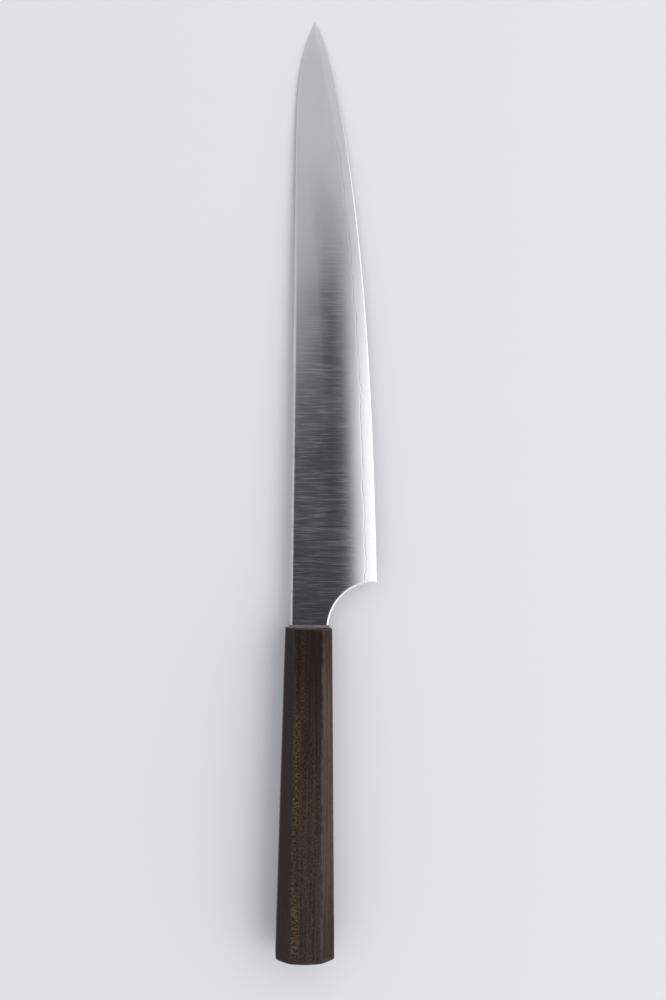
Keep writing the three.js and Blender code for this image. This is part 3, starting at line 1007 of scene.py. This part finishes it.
# The side facets' painted sheen and painted light are mixed in by the way each facet faces
tone_and_facet_light = mixed(wood_tree, to_left, tone_and_facet_light, LEFT_PAINTED_SHEEN)
tone_and_facet_light = mixed(wood_tree, to_right, tone_and_facet_light, mixed(wood_tree, from_ends, RIGHT_PAINTED_LIGHT_AT_ENDS, RIGHT_PAINTED_LIGHT))
shade_side = ranged(wood_tree, wood_axes["X"], *DARK_ACROSS, DARK_LEFT, 1)
tone_and_facet_light = scaled(wood_tree, tone_and_facet_light, math_node(wood_tree, "MAXIMUM", shade_side, to_left))
print("handle shaded with", len(wood_tree.nodes), "nodes")

# %% Add the streaks
STREAK_SWING = (-0.35, 0.45)  # how much darker and paler than the wood's shade
LEFT_CALM = 0.8  # share of that which the left facets lose

grain = add_node(wood_tree, "Group", {"Place": place}, node_tree=grain_group).outputs
streak_depth = math_node(wood_tree, "SUBTRACT", 1, times(wood_tree, to_left, LEFT_CALM))
streak_swing = ranged(wood_tree, grain["Streaks"], *NOISE_SPAN, *STREAK_SWING)
streak_scale = math_node(wood_tree, "ADD", times(wood_tree, streak_swing, streak_depth), 1)
tone = scaled(wood_tree, tone_and_facet_light, streak_scale)
print("with streaks", len(wood_tree.nodes), "nodes")

# %% Place the flecks
LADDER_FLECK = (1.1, 0.42, 3)
LADDER_SPAN = (0.48, 0.6)
LADDER_PATCH = (4, 26, 4)
LADDER_PATCH_SPAN = (0.35, 0.6)
LADDER_FAINTEST = 0.3
LADDER_ACROSS = (2.5, -5.5)  # these flecks grow from right to left between the two
FINE_FLECK = (0.8, 0.42, 1.5)
FINE_SPAN = (0.48, 0.64)
FINE_STRENGTHS = (0.2, 0.5)  # near the mouth and near the butt
FLECK_STRENGTHS = (0.3, 0.85)  # of all flecks, at the mouth and a little way behind it
BUTT_ROUNDING = (1.3, 2.3)  # the flecks fade out between these, so none show on the butt's end

ladder = ranged(wood_tree, stretched_noise(wood_tree, place, LADDER_FLECK, detail=0), *LADDER_SPAN)
ladder_noise = stretched_noise(wood_tree, place, LADDER_PATCH)
ladder_patch = ranged(wood_tree, ladder_noise, *LADDER_PATCH_SPAN, LADDER_FAINTEST, 1)
ladder = times(wood_tree, ladder, ranged(wood_tree, wood_axes["X"], *LADDER_ACROSS))
ladder = times(wood_tree, ladder, ladder_patch)
fine = ranged(wood_tree, stretched_noise(wood_tree, place, FINE_FLECK), *FINE_SPAN)
fine = times(wood_tree, fine, ranged(wood_tree, to_butt, 0.1, 0.9, *FINE_STRENGTHS))
flecks = math_node(wood_tree, "MAXIMUM", ladder, fine)
aside = math_node(wood_tree, "MAXIMUM", to_left, to_right)
flecks = times(wood_tree, flecks, math_node(wood_tree, "SUBTRACT", 1, aside))
flecks = times(wood_tree, flecks, ranged(wood_tree, to_butt, 0, 0.25, *FLECK_STRENGTHS))
fleck_end, fleck_start = (inset - HANDLE_LENGTH for inset in BUTT_ROUNDING)
flecks = times(wood_tree, flecks, ranged(wood_tree, wood_axes["Y"], fleck_end, fleck_start))
print("with flecks", len(wood_tree.nodes), "nodes")

# %% Colour flecks, pores and the ridges' wear and painted highlight, and finish the handle
FLECK_TONE = (0.108, 0.071, 0.044)
PORE_TONE = (0.006, 0.0035, 0.003)
WEAR_AND_HIGHLIGHT_TONE = (0.09, 0.063, 0.05)
WEAR_AND_HIGHLIGHT_PATCH = (2, 6, 2)
WEAR_AND_HIGHLIGHT_SPAN = (0.35, 0.65)
WEAR_AND_HIGHLIGHT_STRENGTHS = (0.05, 0.65)
WEAR_AND_HIGHLIGHT_ACROSS = (-4, 4)
WEAR_AND_HIGHLIGHT_LEFT = 0.3  # what is left of the ridges' wear and painted highlight at the first of these
PORE_STRENGTH = 0.6
PORE_DEPTH = 2e-5
PORE_ROUGH = 0.2  # roughness that pores add
FLECK_HEIGHT = 0.3  # as a share of the pores' depth
WOOD_ROUGH = (0.32, 0.4)

tone = mixed(wood_tree, flecks, tone, FLECK_TONE)
tone = mixed(wood_tree, times(wood_tree, grain["Pores"], PORE_STRENGTH), tone, PORE_TONE)
# The ridges get a paler tone, partly real wear and partly a painted highlight, stronger on the right where
# the light falls
ridge_mark = add_node(wood_tree, "Attribute", attribute_name="ridge_mark").outputs["Fac"]
wear_and_highlight_noise = stretched_noise(wood_tree, place, WEAR_AND_HIGHLIGHT_PATCH, detail=2, rough=0.6)
wear_and_highlight = ranged(wood_tree, wear_and_highlight_noise, *WEAR_AND_HIGHLIGHT_SPAN, *WEAR_AND_HIGHLIGHT_STRENGTHS)
wear_and_highlight = times(wood_tree, wear_and_highlight, ranged(wood_tree, wood_axes["X"], *WEAR_AND_HIGHLIGHT_ACROSS, WEAR_AND_HIGHLIGHT_LEFT, 1))
tone = mixed(wood_tree, times(wood_tree, ranged(wood_tree, ridge_mark, 0.6, 1), wear_and_highlight), tone, WEAR_AND_HIGHLIGHT_TONE)
wood_rough = ranged(wood_tree, grain["Streaks"], *NOISE_SPAN, *WOOD_ROUGH)
wood_rough = math_node(wood_tree, "ADD", wood_rough, times(wood_tree, grain["Pores"], PORE_ROUGH))
wood_height = math_node(wood_tree, "SUBTRACT", times(wood_tree, flecks, FLECK_HEIGHT), grain["Pores"])
dress(wood_tree, wood_shader, tone, wood_rough, wood_height, PORE_DEPTH)
wood_shader.inputs["Specular IOR Level"].default_value = 0.1
wood_handle.data.materials.append(wood_finish)
print("handle finished with", len(wood_tree.nodes), "nodes")

# %% [markdown]
# ## Bead, dowel and bedding
# The bead is a dull mauve-grey sealant with a faint cloudiness. The dowel and its adhesive are hidden in
# the handle with the tang, whose steel is left as it was sawn. Only the dowel's end shows at the mouth,
# stained as dark as the wood round it.

# %% Finish the bead
BEAD_CLOUD = (1.4, 1.4, 1.4)
BEAD_DARK = (0.1, 0.088, 0.092)
BEAD_PALE = (0.19, 0.165, 0.17)
BEAD_ROUGH = (0.3, 0.45)
BEAD_DEPTH = 6e-5

bead_finish, bead_tree, bead_shader = start_material("sealant")
clouds = stretched_noise(bead_tree, knife_place(bead_tree), BEAD_CLOUD, detail=3, rough=0.6)
bead_share = ranged(bead_tree, clouds, *NOISE_SPAN)
bead_tone = mixed(bead_tree, bead_share, BEAD_DARK, BEAD_PALE)
bead_rough = ranged(bead_tree, clouds, *NOISE_SPAN, *BEAD_ROUGH)
dress(bead_tree, bead_shader, bead_tone, bead_rough, clouds, BEAD_DEPTH)
sealing_bead.data.materials.append(bead_finish)
print("bead finished with", len(bead_tree.nodes), "nodes")

# %% Finish what the handle hides
DOWEL_DARK = (0.42, 0.27, 0.13)
DOWEL_PALE = (0.56, 0.37, 0.2)
DOWEL_PORE = (0.2, 0.12, 0.06)
DOWEL_PORE_STRENGTH = 0.5
DOWEL_ROUGH = (0.55, 0.7)
STAIN = (0.03, 0.021, 0.018)
STAIN_REACH = (-3, -1)  # the stain grows between these, towards the mouth
ADHESIVE_CLOUD = (1.1, 2, 1.1)
ADHESIVE_DARK = (0.3, 0.24, 0.17)
ADHESIVE_PALE = (0.46, 0.38, 0.28)
ADHESIVE_ROUGH = (0.4, 0.6)

dowel_finish, dowel_tree, dowel_shader = start_material("stained_dowel")
place = knife_place(dowel_tree)
grain = add_node(dowel_tree, "Group", {"Place": place}, node_tree=grain_group).outputs
plain = mixed(dowel_tree, grain["Streaks"], DOWEL_DARK, DOWEL_PALE)
plain = mixed(dowel_tree, times(dowel_tree, grain["Pores"], DOWEL_PORE_STRENGTH), plain, DOWEL_PORE)
dowel_y = add_node(dowel_tree, "SeparateXYZ", {"Vector": place}).outputs["Y"]
dowel_tone = mixed(dowel_tree, ranged(dowel_tree, dowel_y, *STAIN_REACH), plain, STAIN)
dowel_rough = ranged(dowel_tree, grain["Streaks"], *NOISE_SPAN, *DOWEL_ROUGH)
dress(dowel_tree, dowel_shader, dowel_tone, dowel_rough)

bedding_finish, bedding_tree, bedding_shader = start_material("set_adhesive")
clouds = stretched_noise(bedding_tree, knife_place(bedding_tree), ADHESIVE_CLOUD, detail=3, rough=0.6)
bedding_tone = mixed(bedding_tree, clouds, ADHESIVE_DARK, ADHESIVE_PALE)
bedding_rough = ranged(bedding_tree, clouds, *NOISE_SPAN, *ADHESIVE_ROUGH)
dress(bedding_tree, bedding_shader, bedding_tone, bedding_rough)

inner_finishes = {"tang_dowel": dowel_finish, "tang_bedding": bedding_finish, "tang": tang_finish}
for node_name, finish in inner_finishes.items():
    node_mesh = frame["nodes"][node_name].data
    node_mesh.materials.clear()
    node_mesh.materials.append(finish)
print("finished inside the handle:", ", ".join(inner_finishes))
